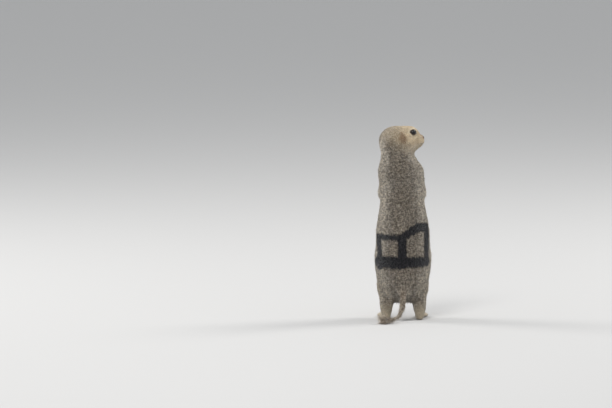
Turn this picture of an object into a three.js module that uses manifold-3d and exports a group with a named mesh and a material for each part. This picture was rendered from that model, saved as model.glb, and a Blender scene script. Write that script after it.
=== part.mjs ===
// A ground squirrel standing upright on its hind legs and looking round to its right, life size, with its coat on.
// Millimetres, +Z up. The chest faces -Y and the back +Y, the animal's left side is +X, and it stands on z = 0.
// Its flesh is one smooth field of rounded forms, meshed part by part and divided by thin cuts.
import * as THREE from 'three';
import { mergeVertices } from 'three/addons/utils/BufferGeometryUtils.js';
import Module from 'manifold-3d';

const wasm = await Module();
wasm.setup();

// Driving sizes
const GAP = 0.3; // between two pieces that touch
const FAR = 600; // longer than the animal, for the blocks that cut it
const FINENESS = 0.08; // joins and cuts are kept this true, so that they leave no slivers
const CROWN_Z = 250; // floor to the top of the head
const EAR_Z = CROWN_Z - 15; // the head's own origin is midway between its ears
const NECK_Z = 206; // where the neck leaves the chest
const WAIST_Z = 138; // where the chest meets the belly
const RUMP_Z = 64; // where the belly meets the rump
const LOOK_TURN = 73; // degrees that the head is turned to the animal's right
const LOOK_DOWN = 3; // degrees that the muzzle points below level
const LEAN = 1.5; // how far the shoulders lean to the animal's left
const EYE_R = 4.6;
const SIDES = { left: 1, right: -1 };

// Landmarks of the left side. The right side mirrors them.
const SHOULDER = [16.5, -2, 190];
const ELBOW = [24, -5, 163];
const WRIST = [10.5, -34.5, 163];
const HIP = [16, 5, 79];
const KNEE = [20.5, -12, 40];
const ANKLE = [21.5, 12, 13];
const TAIL_ROOT = [0, 21, 45];

const UP = new THREE.Vector3(0, 0, 1);
const vector = (p) => new THREE.Vector3(...p);
const mirrored = ([x, y, z], side) => [side * x + LEAN * THREE.MathUtils.smoothstep(z, 120, 180), y, z];
const degrees = THREE.MathUtils.degToRad;

// Fields: each is a function of x, y, z that is negative inside its form and about the distance to it outside.
const length = (x, y, z) => Math.sqrt(x * x + y * y + z * z);

function ball([cx, cy, cz], [rx, ry, rz]) {
  return (x, y, z) => {
    const u = (x - cx) / rx;
    const v = (y - cy) / ry;
    const w = (z - cz) / rz;
    const near = length(u, v, w);
    return near < 1e-6 ? -Math.min(rx, ry, rz) : (near * (near - 1)) / length(u / rx, v / ry, w / rz);
  };
}

function bone([ax, ay, az], [bx, by, bz], ra, rb) {
  const [dx, dy, dz] = [bx - ax, by - ay, bz - az];
  const square = dx * dx + dy * dy + dz * dz;
  return (x, y, z) => {
    const along = ((x - ax) * dx + (y - ay) * dy + (z - az) * dz) / square;
    const t = Math.min(1, Math.max(0, along));
    return length(x - ax - t * dx, y - ay - t * dy, z - az - t * dz) - ra - t * (rb - ra);
  };
}

function softMin(a, b, soft) {
  const near = Math.max(soft - Math.abs(a - b), 0) / soft;
  return Math.min(a, b) - (near * near * soft) / 4;
}

const blend = (soft, ...fields) => (x, y, z) => fields.reduce((d, f) => softMin(d, f(x, y, z), soft), Infinity);
const hollowed = (soft, field, ...dents) => (x, y, z) =>
  dents.reduce((d, f) => -softMin(-d, f(x, y, z), soft), field(x, y, z));
const grown = (field, by) => (x, y, z) => field(x, y, z) - by;

// A field whose forms are given in the frame of a matrix.
function placed(field, matrix) {
  const e = matrix.clone().invert().elements;
  return (x, y, z) =>
    field(
      e[0] * x + e[4] * y + e[8] * z + e[12],
      e[1] * x + e[5] * y + e[9] * z + e[13],
      e[2] * x + e[6] * y + e[10] * z + e[14],
    );
}

function slope(field, [x, y, z]) {
  const h = 0.05;
  return [
    (field(x + h, y, z) - field(x - h, y, z)) / (2 * h),
    (field(x, y + h, z) - field(x, y - h, z)) / (2 * h),
    (field(x, y, z + h) - field(x, y, z - h)) / (2 * h),
  ];
}

// Grid lines from low to high. The spacing goes evenly from first to last.
function lines(low, high, first, last = first) {
  const count = Math.ceil((2 * (high - low)) / (first + last));
  const spacing = Array.from({ length: count }, (_, i) => first + ((last - first) * (i + 0.5)) / count);
  const scale = (high - low) / spacing.reduce((a, b) => a + b);
  return spacing.reduce((made, s) => [...made, made.at(-1) + s * scale], [low]);
}

// The surface where a field is 0, with one vertex in each grid cell that it crosses, moved onto the surface.
// It is closed off just inside the grid's outermost lines.
function surface(field, grid) {
  const size = grid.map((line) => line.length);
  const index = (i, j, k) => (k * size[1] + j) * size[0] + i;
  const value = new Float64Array(size[0] * size[1] * size[2]);
  for (let k = 0; k < size[2]; k++)
    for (let j = 0; j < size[1]; j++)
      for (let i = 0; i < size[0]; i++) {
        const rim = [i, j, k].some((n, axis) => n === 0 || n === size[axis] - 1);
        const d = field(grid[0][i], grid[1][j], grid[2][k]);
        value[index(i, j, k)] = rim ? Math.max(d, 1) : d;
      }

  const positions = [];
  const vertexOf = new Map();
  const vertexIn = (cell) => {
    const key = index(...cell);
    if (!vertexOf.has(key)) {
      vertexOf.set(key, positions.length);
      positions.push(ontoSurface(field, crossing(value, index, grid, cell), grid, cell));
    }
    return vertexOf.get(key);
  };

  const triangles = [];
  for (let k = 0; k < size[2] - 1; k++)
    for (let j = 0; j < size[1] - 1; j++)
      for (let i = 0; i < size[0] - 1; i++)
        for (let axis = 0; axis < 3; axis++)
          if ([i, j, k].every((n, other) => other === axis || n > 0))
            addQuad(triangles, positions, vertexIn, value, index, [i, j, k], axis);

  const geometry = new THREE.BufferGeometry();
  geometry.setAttribute('position', new THREE.Float32BufferAttribute(positions.flat(), 3));
  geometry.setIndex(triangles);
  return geometry;
}

// The mean of the points where the field changes sign along a cell's twelve edges.
function crossing(value, index, grid, cell) {
  const sum = [0, 0, 0];
  let count = 0;
  for (let axis = 0; axis < 3; axis++)
    for (let corner = 0; corner < 4; corner++) {
      const start = [...cell];
      start[(axis + 1) % 3] += corner & 1;
      start[(axis + 2) % 3] += corner >> 1;
      const end = [...start];
      end[axis] += 1;
      const a = value[index(...start)];
      const b = value[index(...end)];
      if (a < 0 === b < 0) continue;
      start.forEach((n, i) => {
        sum[i] += THREE.MathUtils.lerp(grid[i][n], grid[i][end[i]], a / (a - b));
      });
      count += 1;
    }
  return sum.map((s) => s / count);
}

function ontoSurface(field, start, grid, cell) {
  const most = 0.5 * Math.min(...cell.map((n, axis) => grid[axis][n + 1] - grid[axis][n]));
  const point = [...start];
  for (let step = 0; step < 2; step++) {
    const d = field(...point);
    const g = slope(field, point);
    const square = Math.max(0.2, g[0] ** 2 + g[1] ** 2 + g[2] ** 2);
    g.forEach((n, i) => (point[i] -= (d * n) / square));
  }
  const moved = Math.hypot(...point.map((n, i) => n - start[i]));
  const share = Math.min(1, most / Math.max(moved, 1e-9));
  return start.map((n, i) => n + share * (point[i] - n));
}

// Two triangles across a grid edge whose ends lie on two sides of the surface, split along the shorter diagonal.
function addQuad(triangles, positions, vertexIn, value, index, node, axis) {
  const end = [...node];
  end[axis] += 1;
  const inside = value[index(...node)] < 0;
  if (inside === value[index(...end)] < 0) return;
  const [b, c] = [(axis + 1) % 3, (axis + 2) % 3];
  const ring = [[-1, -1], [0, -1], [0, 0], [-1, 0]].map(([db, dc]) => {
    const cell = [...node];
    cell[b] += db;
    cell[c] += dc;
    return vertexIn(cell);
  });
  if (!inside) ring.reverse();
  const apart = (p, q) => Math.hypot(...positions[p].map((n, i) => n - positions[q][i]));
  const [p, q, r, s] = ring;
  if (apart(p, r) <= apart(q, s)) triangles.push(p, q, r, p, r, s);
  else triangles.push(p, q, s, q, r, s);
}

// Solids that can be joined and cut
function solid(geometry) {
  const bare = new THREE.BufferGeometry();
  bare.setAttribute('position', geometry.getAttribute('position').clone());
  if (geometry.index) bare.setIndex(geometry.index.clone());
  const merged = mergeVertices(bare, 1e-4);
  return new wasm.Manifold(
    new wasm.Mesh({
      numProp: 3,
      vertProperties: merged.attributes.position.array,
      triVerts: new Uint32Array(merged.index.array),
    }),
  );
}

const joined = (pieces) => pieces.reduce((all, piece) => all.add(piece));

// What is left of a solid on the side of a plane that its normal points to.
function keep(shape, point, normal) {
  const turn = new THREE.Quaternion().setFromUnitVectors(UP, vector(normal).normalize());
  const block = new THREE.BoxGeometry(FAR, FAR, FAR).translate(0, 0, -FAR / 2).applyQuaternion(turn);
  return shape.subtract(solid(block.translate(...point)));
}

// The two sides of a thin cut: the part that the normal points to, and the part behind it.
function beyond(shape, seam, shift = GAP / 2) {
  const n = vector(seam.normal).normalize();
  return keep(shape, vector(seam.point).addScaledVector(n, shift).toArray(), n.toArray());
}
const behind = (shape, seam) => beyond(shape, { point: seam.point, normal: seam.normal.map((n) => -n) });

// A rounded rod between two points, from a lathe profile with a half circle at each end.
function rod(from, to, fromR, toR, around = 8, caps = 3) {
  const axis = vector(to).sub(vector(from));
  const span = axis.length();
  const profile = [];
  for (let i = 0; i <= caps; i++) {
    const angle = -Math.PI / 2 + (i / caps) * (Math.PI / 2);
    profile.push(new THREE.Vector2(fromR * Math.cos(angle), fromR * Math.sin(angle)));
  }
  for (let i = 0; i <= caps; i++) {
    const angle = (i / caps) * (Math.PI / 2);
    profile.push(new THREE.Vector2(toR * Math.cos(angle), span + toR * Math.sin(angle)));
  }
  profile[0].x = 0;
  profile.at(-1).x = 0;
  const turn = new THREE.Quaternion().setFromUnitVectors(new THREE.Vector3(0, 1, 0), axis.normalize());
  return solid(new THREE.LatheGeometry(profile, around).applyQuaternion(turn).translate(...from));
}

const pad = (middle, [rx, ry, rz], around) =>
  solid(new THREE.SphereGeometry(1, around, 6).scale(rx, ry, rz).translate(...middle));

// A tapered, flat-sided horn that starts at a root and bends towards a side: a claw, or a lock of hair.
function horn(root, direction, bendTo, { long, wide, thick, bend, around = 5, rings = 3 }) {
  const geometry = new THREE.ConeGeometry(1, 1, around, rings).translate(0, 0.5, 0);
  const y = vector(direction).normalize();
  const z = vector(bendTo).addScaledVector(y, -vector(bendTo).dot(y)).normalize();
  const x = new THREE.Vector3().crossVectors(y, z);
  const place = geometry.getAttribute('position');
  for (let i = 0; i < place.count; i++) {
    const t = place.getY(i);
    const full = t < 1 ? Math.sqrt(1 - t * t) / (1 - t) : 1; // swells the straight cone to a rounded blade
    const p = vector(root)
      .addScaledVector(x, place.getX(i) * wide * 0.5 * full)
      .addScaledVector(y, t * long)
      .addScaledVector(z, place.getZ(i) * thick * 0.5 * full + bend * t * t);
    place.setXYZ(i, p.x, p.y, p.z);
  }
  return solid(geometry);
}

// The trunk and the upper legs
const trunkForms = [
  ball([1.5, 0, 163], [26, 24, 42]), // ribs
  bone([-11.5, 0, 188], [18, 0, 191], 12.5, 12.5), // shoulders
  ball([0.5, 0, 126], [31.5, 27, 46]), // loin
  ball([0, -3, 96], [35, 30.5, 50]), // belly
  ball([0, 5, 62], [31, 27, 42]), // rump
  bone([4.5, 1, 196], [11.5, 0, 226], 23, 18.5), // neck
];
const upperArm = (side) => bone(mirrored(SHOULDER, side), mirrored(ELBOW, side), 10.5, 8);
const haunch = (side) => bone(mirrored(HIP, side), mirrored(KNEE, side), 17.5, 12);
const shank = (side) => bone(mirrored(KNEE, side), mirrored(ANKLE, side), 12, 8.4);
const sides = Object.values(SIDES);
const trunk = blend(
  6,
  blend(14, ...trunkForms, ...sides.map(haunch)),
  blend(6, ...sides.map(upperArm)),
  ...sides.map(shank),
  bone(TAIL_ROOT, [0, 31, 33], 8, 6.5),
);

// The head, in its own frame: u forward along the muzzle, v to its left, w up
const turn = degrees(LOOK_TURN);
const down = degrees(LOOK_DOWN);
const muzzleWay = new THREE.Vector3(
  -Math.sin(turn) * Math.cos(down),
  -Math.cos(turn) * Math.cos(down),
  -Math.sin(down),
);
const headLeft = new THREE.Vector3().crossVectors(UP, muzzleWay).normalize();
const headUp = new THREE.Vector3().crossVectors(muzzleWay, headLeft);
const headFrame = new THREE.Matrix4().makeBasis(muzzleWay, headLeft, headUp).setPosition(7, -2, EAR_Z);
const EYE = [16.5, 9.4, 7.2];
const EAR = [-1, 14, -0.3];
const NOSE = [34.6, 0, -0.2];

const headForms = blend(
  7,
  ball([2, 0, 1], [19, 15, 13.5]), // brain case
  ball([-7.5, 0, -3.5], [16, 15.5, 15]), // nape
  ball([14, 0, 4.5], [12, 11.5, 9.3]), // forehead
  bone([20, 0, 0], [30.2, 0, -1.6], 11.6, 5.9), // bridge and muzzle
  ...sides.map((side) => ball([9, side * 8, -9], [13.5, 9.3, 11.5])), // cheeks
  bone([14, 0, -13.8], [28.2, 0, -8.4], 11, 5), // jaw
);
const head = hollowed(
  4,
  blend(
    3,
    headForms,
    ...sides.map((side) => ball([15.5, side * 8.8, 10.4], [7, 4.2, 3.4])), // brows
    ...sides.map((side) => ball([28.8, side * 4.2, -4.4], [5.6, 4, 4.6])), // whisker pads
  ),
  ...sides.map((side) => ball([17.5, side * 16.5, 6.6], [6.5, 3.4, 5])), // hollows of the eyes
);
const body = blend(6, trunk, placed(head, headFrame));
const bodyFromHead = placed(body, headFrame.clone().invert());

// Thin cuts across the trunk and the limbs
const seams = {
  nape: { point: [8, 0, 219], normal: [-0.3, -0.1, 0.95] },
  neck: { point: [3, 0, NECK_Z], normal: [0.12, 0, 1] },
  waist: { point: [0, 0, WAIST_Z], normal: [0, 0, 1] },
  rump: { point: [0, 0, RUMP_Z], normal: [0, 0, 1] },
  tail: { point: [0, 30, 35], normal: [0, 0.62, -0.78] },
  ankle: { point: [0, 0, 15], normal: [0, 0, -1] },
};
const floorPlane = { point: [0, 0, 0], normal: [0, 0, 1] };
const jointSeam = (point, from, to) => ({ point, normal: to.map((n, i) => n - from[i]) });
const between = (a, b, t) => a.map((n, i) => n + t * (b[i] - n));

// Node making
const skin = (color) => new THREE.MeshStandardMaterial({ color, roughness: 0.95, metalness: 0 });
const materials = {
  back: skin(0x968975),
  belly: skin(0xc4b394),
  face: skin(0xb39a72),
  limb: skin(0xb8a888),
  ear: skin(0xa98d6c),
  nose: new THREE.MeshStandardMaterial({ color: 0x3a2c26, roughness: 0.55, metalness: 0 }),
  eye: new THREE.MeshStandardMaterial({ color: 0x120c0a, roughness: 0.08, metalness: 0 }),
  claw: new THREE.MeshStandardMaterial({ color: 0x2e2620, roughness: 0.45, metalness: 0 }),
};
const animal = new THREE.Group();
const headGroup = new THREE.Group();
headFrame.decompose(headGroup.position, headGroup.quaternion, headGroup.scale);
animal.add(headGroup);

const largestOf = (shape) => shape.decompose().reduce((a, b) => (b.volume() > a.volume() ? b : a));

function addNode(name, shape, material, group = animal) {
  const { vertProperties, triVerts } = largestOf(largestOf(shape).simplify(FINENESS)).getMesh();
  const geometry = new THREE.BufferGeometry();
  geometry.setAttribute('position', new THREE.BufferAttribute(vertProperties, 3));
  geometry.setIndex(new THREE.BufferAttribute(triVerts, 1));
  geometry.computeVertexNormals();
  const mesh = new THREE.Mesh(geometry, material);
  mesh.name = name;
  group.add(mesh);
}

// Head: a fine mesh in its own frame, with lids, eye sockets, nostrils and the line of the mouth
const inHead = headFrame.clone().invert();
const napeInHead = {
  point: vector(seams.nape.point).applyMatrix4(inHead).toArray(),
  normal: vector(seams.nape.normal).transformDirection(inHead).toArray(),
};
const headGrid = [lines(-30, 39, 4.1, 2.1), lines(-24, 24, 3.1), lines(-32, 18, 3.1)];
const LIP_AXIS = [24, 0, -6.6]; // the lips run round this point
const LIP_SWEEP = 104; // degrees that the mouth reaches to each side of straight ahead
const LIP_FALL = 0.12; // how far the line of the mouth falls towards its corners

// The point where a ray from inside the head leaves it.
function exit(from, direction) {
  const way = vector(direction).normalize();
  let [near, far] = [0, 40];
  while (far - near > 0.01) {
    const middle = (near + far) / 2;
    if (bodyFromHead(...vector(from).addScaledVector(way, middle).toArray()) < 0) near = middle;
    else far = middle;
  }
  return vector(from).addScaledVector(way, near);
}

function groove(points, radius, steps) {
  const profile = new THREE.Shape().absellipse(0, 0, radius, radius, 0, Math.PI * 2);
  const extrudePath = new THREE.CatmullRomCurve3(points);
  return solid(new THREE.ExtrudeGeometry(profile, { steps, curveSegments: 5, extrudePath, bevelEnabled: false }));
}

function mouthCut() {
  const points = [];
  for (let angle = -LIP_SWEEP; angle <= LIP_SWEEP; angle += LIP_SWEEP / 6) {
    const a = degrees(angle);
    points.push(exit(LIP_AXIS, [Math.cos(a), Math.sin(a), LIP_FALL * (Math.cos(a) - 1)]));
  }
  return groove(points, 0.6, 14);
}

function philtrumCut() {
  const points = [0, 0.5, 1].map((t) => exit([24, 0, -6.6 + 4.4 * t], [1, 0, 0]));
  return groove(points, 0.45, 3);
}

function lid(side) {
  const [u, v, w] = EYE;
  const outward = new THREE.Vector3(0.16, side, 0.2).normalize();
  const ring = new THREE.TorusGeometry(3.95, 1.15, 5, 18).scale(1.14, 1, 1);
  ring.applyQuaternion(new THREE.Quaternion().setFromUnitVectors(UP, outward));
  return solid(ring.translate(u + outward.x * 2.5, side * v + outward.y * 2.5, w + outward.z * 2.5));
}

const eyeball = (side, radius) =>
  solid(new THREE.SphereGeometry(radius, 14, 8).translate(EYE[0], side * EYE[1], EYE[2]));

// The cup of an ear: a flat rounded flap with a scoop taken out of its front.
function ear(side) {
  const flap = new THREE.SphereGeometry(1, 12, 8).scale(4.4, 2.5, 6.2);
  const scoop = new THREE.SphereGeometry(1, 10, 7).scale(3.4, 2.3, 5).translate(1.6, side * 1.5, 0.3);
  const lean = new THREE.Euler(degrees(side * 24), degrees(-16), degrees(side * 34));
  return [flap, scoop]
    .map((form) => solid(form.applyQuaternion(new THREE.Quaternion().setFromEuler(lean))))
    .reduce((whole, cut) => whole.subtract(cut))
    .translate([EAR[0], side * (EAR[1] + 2), EAR[2] + 2.6]);
}

const nostril = (side) => {
  const [u, , w] = NOSE;
  return rod([u + 0.4, side * 0.7, w + 0.2], [u + 2.6, side * 2.3, w + 0.8], 0.5, 0.8, 6, 2);
};
const nosePad = (by) =>
  solid(new THREE.SphereGeometry(1, 12, 9).scale(2.2 + by, 3.1 + by, 2.3 + by).translate(...NOSE));

const headWhole = solid(surface(bodyFromHead, headGrid));
const headShell = solid(surface(grown(bodyFromHead, GAP), headGrid));
addNode(
  'head',
  beyond(joined([headWhole, ...sides.map(lid)]), napeInHead)
    .subtract(joined([...sides.map((side) => eyeball(side, EYE_R + GAP)), nosePad(GAP)]))
    .subtract(joined([mouthCut(), philtrumCut()])),
  materials.face,
  headGroup,
);
addNode('nose', nosePad(0).subtract(joined(sides.map(nostril))), materials.nose, headGroup);
for (const [name, side] of Object.entries(SIDES)) {
  addNode(`eye_${name}`, eyeball(side, EYE_R), materials.eye, headGroup);
  addNode(`ear_${name}`, ear(side).subtract(headShell), materials.ear, headGroup);
}

// Limbs: the regions of the upper ones, and seams across the joints
const armRegion = (side, by = 0) =>
  rod(mirrored([24, -2, 196], side), mirrored([29, -6, 162], side), 13 + by, 14 + by, 14, 3);
const legRegion = (side, by = 0) =>
  joined([
    rod(mirrored([25, 2, 84], side), mirrored([27, -14, 44], side), 17.5 + by, 15 + by, 16, 4),
    rod(mirrored([27, -14, 44], side), mirrored([22, 14, 8], side), 15 + by, 12 + by, 14, 3),
  ]);
const limbGrid = (x, y, z, step) => (side) =>
  [side > 0 ? lines(x[0], x[1], step) : lines(-x[1], -x[0], step), lines(...y, step), lines(...z, step)];
const armGrid = limbGrid([4, 46], [-26, 20], [144, 216], 4.6);
const thighGrid = limbGrid([2, 48], [-36, 30], [18, 110], 6);
const shankGrid = limbGrid([2, 48], [-36, 30], [0, 60], 4.8);
const forearmGrid = limbGrid([2, 36], [-44, 8], [150, 176], 3.8);

function forearm(side) {
  const elbow = mirrored(ELBOW, side);
  const wrist = mirrored(WRIST, side);
  return blend(4, bone(elbow, wrist, 7.4, 4.3), ball(between(elbow, wrist, 0.35), [6.6, 6.6, 6.6]));
}

const trunkGrid = [lines(-42, 42, 7), lines(-38, 38, 7), lines(8, 238, 9)];
const trunkWhole = solid(surface(body, trunkGrid));
const trunkShell = solid(surface(grown(body, GAP), trunkGrid));

function hand(name, side) {
  const wrist = mirrored(WRIST, side);
  const knuckles = mirrored([WRIST[0] - 1, WRIST[1] - 4.5, WRIST[2] - 9.5], side);
  const fingers = [-1.5, -0.5, 0.5, 1.5].map((place) => {
    const spread = side * place;
    const root = [knuckles[0] + spread * 2.1, knuckles[1] - 0.4, knuckles[2] + 1.2];
    const reach = 8.4 - Math.abs(place + 0.2) * 1.2;
    const tip = [root[0] + spread * 0.9, root[1] - 1.2, root[2] - reach];
    return { root, tip, spread };
  });
  const palm = [
    rod(wrist, knuckles, 4.5, 3.8, 8, 2),
    pad([knuckles[0], knuckles[1], knuckles[2] + 1.5], [5.6, 3.1, 5], 10),
  ];
  const toes = (by) => fingers.map(({ root, tip }) => rod(root, tip, 2.2 + by, 1.6 + by, 6, 2));
  const seam = jointSeam(wrist, mirrored(ELBOW, side), knuckles);
  addNode(`hand_${name}`, beyond(joined([...palm, ...toes(0)]), seam).subtract(trunkShell), materials.limb);
  const shell = joined(toes(GAP));
  fingers.forEach(({ tip, spread }, i) => {
    const size = { long: 7.6, wide: 1.7, thick: 2.2, bend: 2.2 };
    const claw = horn([tip[0], tip[1], tip[2] + 0.6], [spread * 0.08, -0.35, -1], [0, 1, -0.3], size);
    addNode(`claw_fore_${name}_${i + 1}`, claw.subtract(shell), materials.claw);
  });
  return seam;
}

function foot(name, side) {
  const ankle = mirrored(ANKLE, side);
  const heel = mirrored([ANKLE[0], ANKLE[1] + 3, 5.2], side);
  const toes = [-2, -1, 0, 1, 2].map((place) => {
    const spread = side * place;
    const root = [side * 24 + spread * 2.3, -15.5 + Math.abs(place - 0.2) * 1.6, 3.6];
    const tip = [root[0] + spread * 0.9 + side * 0.6, root[1] - (10 - Math.abs(place) * 0.9), 1.9];
    return { root, tip, spread };
  });
  const sole = [
    rod(between(mirrored(KNEE, side), ankle, 0.7), ankle, 9.3, 8.3, 10, 2),
    rod(ankle, heel, 8.2, 6, 10, 2),
    rod(heel, mirrored([22.5, -6, 4.2], side), 5.8, 5.2, 10, 2),
    pad([side * 24, -12.5, 3.4], [7.6, 10, 4.1], 12),
  ];
  const ends = (by) => toes.map(({ root, tip }) => rod(root, tip, 3 + by, 2.1 + by, 6, 2));
  const whole = beyond(beyond(joined([...sole, ...ends(0)]), seams.ankle), floorPlane, 0);
  addNode(`foot_${name}`, whole, materials.limb);
  const shell = joined(ends(GAP));
  toes.forEach(({ tip, spread }, i) => {
    const size = { long: 5.6, wide: 1.7, thick: 1.9, bend: 0.9 };
    const claw = horn([tip[0], tip[1] + 0.6, tip[2] + 0.5], [spread * 0.06, -1, 0.1], [0, 0, -1], size);
    addNode(`claw_hind_${name}_${i + 1}`, beyond(claw.subtract(shell), floorPlane, 0.2), materials.claw);
  });
}

for (const [name, side] of Object.entries(SIDES)) {
  const elbowSeam = jointSeam(mirrored(ELBOW, side), mirrored(SHOULDER, side), mirrored(WRIST, side));
  const arm = solid(surface(body, armGrid(side))).intersect(armRegion(side));
  addNode(`upper_arm_${name}`, behind(arm, elbowSeam), materials.back);
  const wristSeam = hand(name, side);
  const free = solid(surface(forearm(side), forearmGrid(side))).subtract(trunkShell.subtract(armRegion(side)));
  addNode(`forearm_${name}`, behind(beyond(arm.add(free), elbowSeam), wristSeam), materials.limb);

  const behindKnee = mirrored([KNEE[0], KNEE[1] + 6, KNEE[2] - 6], side);
  const kneeSeam = jointSeam(behindKnee, mirrored(HIP, side), mirrored(ANKLE, side));
  foot(name, side);
  const [thigh, shank] = [thighGrid, shankGrid].map((grid) =>
    solid(surface(body, grid(side))).intersect(legRegion(side)),
  );
  addNode(`thigh_${name}`, behind(thigh, kneeSeam), materials.back);
  addNode(`shank_${name}`, behind(beyond(shank, kneeSeam), seams.ankle), materials.limb);
}

// Trunk, less the regions of the limbs
const limbless = trunkWhole.subtract(
  joined(sides.flatMap((side) => [armRegion(side, GAP), legRegion(side, GAP)])),
);
addNode('neck', behind(beyond(limbless, seams.neck), seams.nape), materials.back);
addNode('chest', behind(beyond(limbless, seams.waist), seams.neck), materials.back);
addNode('belly', behind(beyond(limbless, seams.rump), seams.waist), materials.belly);
addNode('rump', behind(behind(limbless, seams.rump), seams.tail), materials.back);

// Tail: it hangs from the rump, bends on the floor and curls behind the left heel, its hair spread to both sides
const tailLine = new THREE.CatmullRomCurve3(
  [TAIL_ROOT, [0, 29, 34], [1, 34.5, 20], [4.5, 41, 10], [10.5, 49.5, 5.5], [19, 57, 4.5], [28.5, 63.5, 4]].map(vector),
);
const BRUSH_FROM = 0.5; // share of the tail's length at which its long hair begins
const LOCK_TIERS = 5;
const LOCK_ANGLES = [-8, 45, 135, 188]; // degrees round the tail, from its left side over its top

function tailAt(t) {
  const tangent = tailLine.getTangentAt(t);
  const over = new THREE.Vector3(1, 0, 0).cross(tangent).normalize();
  return { middle: tailLine.getPointAt(t), tangent, over, left: new THREE.Vector3().crossVectors(tangent, over) };
}

// A tube of oval section along a stretch of the tail, from a capped cylinder.
function tailCore(from, to, widthAt, depthAt, around, steps) {
  const geometry = new THREE.CylinderGeometry(1, 1, 1, around, steps);
  const place = geometry.getAttribute('position');
  for (let i = 0; i < place.count; i++) {
    const t = from + (to - from) * (place.getY(i) + 0.5);
    const { middle, over, left } = tailAt(t);
    middle.addScaledVector(left, place.getX(i) * widthAt(t)).addScaledVector(over, place.getZ(i) * depthAt(t));
    place.setXYZ(i, middle.x, middle.y, middle.z);
  }
  return solid(geometry);
}

function tailLocks() {
  const locks = [];
  for (let tier = 0; tier < LOCK_TIERS; tier++)
    LOCK_ANGLES.forEach((angle, n) => {
      const uneven = Math.sin(tier * 2.4 + n * 1.7);
      const t = BRUSH_FROM + 0.05 + (0.96 - BRUSH_FROM - 0.05) * ((tier + 0.4 * (n % 2)) / LOCK_TIERS);
      const { middle, tangent, over, left } = tailAt(t);
      const a = degrees(angle + 5 * uneven);
      const out = left.multiplyScalar(Math.cos(a)).addScaledVector(over, Math.sin(a));
      const flare = 0.16 + 0.22 * Math.cos(a) ** 2;
      const root = middle.addScaledVector(out, 1.4).toArray();
      const direction = tangent.clone().addScaledVector(out, flare).toArray();
      const size = { long: 15 + 1.6 * uneven, wide: 7, thick: 2.4, bend: 1.2, around: 4, rings: 2 };
      locks.push(horn(root, direction, out.clone().negate().toArray(), size));
    });
  return locks;
}

const brushStart = tailAt(BRUSH_FROM);
const brushSeam = { point: brushStart.middle.toArray(), normal: brushStart.tangent.toArray() };
const coreWidth = (t) => 7.6 - 4.6 * t;
const coreDepth = (t) => 7 - 3.4 * t;
const tailStem = tailCore(0, BRUSH_FROM + 0.08, coreWidth, coreDepth, 10, 8);
const tailBrush = joined([tailCore(BRUSH_FROM - 0.05, 1, coreWidth, coreDepth, 8, 6), ...tailLocks()]);
addNode('tail_stem', behind(beyond(tailStem, seams.tail), brushSeam), materials.back);
addNode('tail_brush', beyond(beyond(tailBrush, brushSeam), floorPlane, 0), materials.back);

// The origin is on the floor, at the middle of the animal's box.
const box = new THREE.Box3().setFromObject(animal, true);
const middle = box.getCenter(new THREE.Vector3());
animal.position.set(-middle.x, -middle.y, -box.min.z);

export default animal;
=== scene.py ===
"""A life-size ground squirrel, standing upright and looking round to its right.

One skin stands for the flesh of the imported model. It lies inside the solids by the depth of the coat, and
mesh tufts, whiskers, eyes, lids, ears, nose and claws are set on it. Metres, +Z up, the back faces +Y.
"""

import math

import bmesh
import bpy
import numpy as np
from mathutils import Matrix, Vector
from mathutils.bvhtree import BVHTree


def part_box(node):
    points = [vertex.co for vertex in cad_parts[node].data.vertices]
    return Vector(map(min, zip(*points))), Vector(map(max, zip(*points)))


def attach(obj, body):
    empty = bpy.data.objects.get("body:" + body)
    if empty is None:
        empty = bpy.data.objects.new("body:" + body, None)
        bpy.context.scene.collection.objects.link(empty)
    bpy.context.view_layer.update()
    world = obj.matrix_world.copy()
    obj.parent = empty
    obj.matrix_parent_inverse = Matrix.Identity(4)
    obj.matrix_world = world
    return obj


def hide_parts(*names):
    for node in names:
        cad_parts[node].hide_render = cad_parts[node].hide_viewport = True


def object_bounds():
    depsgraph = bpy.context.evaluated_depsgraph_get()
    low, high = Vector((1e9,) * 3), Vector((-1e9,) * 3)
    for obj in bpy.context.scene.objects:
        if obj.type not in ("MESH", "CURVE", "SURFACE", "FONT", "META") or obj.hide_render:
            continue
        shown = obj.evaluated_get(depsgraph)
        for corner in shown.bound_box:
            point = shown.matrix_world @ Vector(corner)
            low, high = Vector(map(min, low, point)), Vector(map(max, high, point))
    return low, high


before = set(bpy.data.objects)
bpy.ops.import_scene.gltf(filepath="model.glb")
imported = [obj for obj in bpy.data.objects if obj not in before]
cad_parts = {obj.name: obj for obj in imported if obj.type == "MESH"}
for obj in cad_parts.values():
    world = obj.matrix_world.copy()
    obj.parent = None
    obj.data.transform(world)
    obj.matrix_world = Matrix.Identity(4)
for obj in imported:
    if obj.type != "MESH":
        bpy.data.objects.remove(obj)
cad_low, cad_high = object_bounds()

MM = 0.001
SIDES = {"left": 1, "right": -1}
SEED = 7

# The photograph's framing
FRAME_WIDTH = 612  # pixels
FRAME_HEIGHT = 408
MM_PER_PIXEL = 1.29  # at the animal
ANIMAL_PX = 403  # the column of the animal's middle
CROWN_PX = 126  # the row of the top of its head
CAMERA_LENS = 400
CAMERA_SENSOR = 36
CAMERA_ELEVATION = 6  # degrees

# The head's own frame, as in the solids: u forward, v to its left, w up
LOOK_TURN = math.radians(73)
LOOK_DOWN = math.radians(3)
EYE_U = 16.5
EYE_W = 7.2
EYE_R = 4.6
HEAD_Y = -2.0
LEAN = 1.5  # how far the shoulders lean to the animal's left


def centre(node):
    low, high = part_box(node)
    return (low + high) / 2


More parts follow.
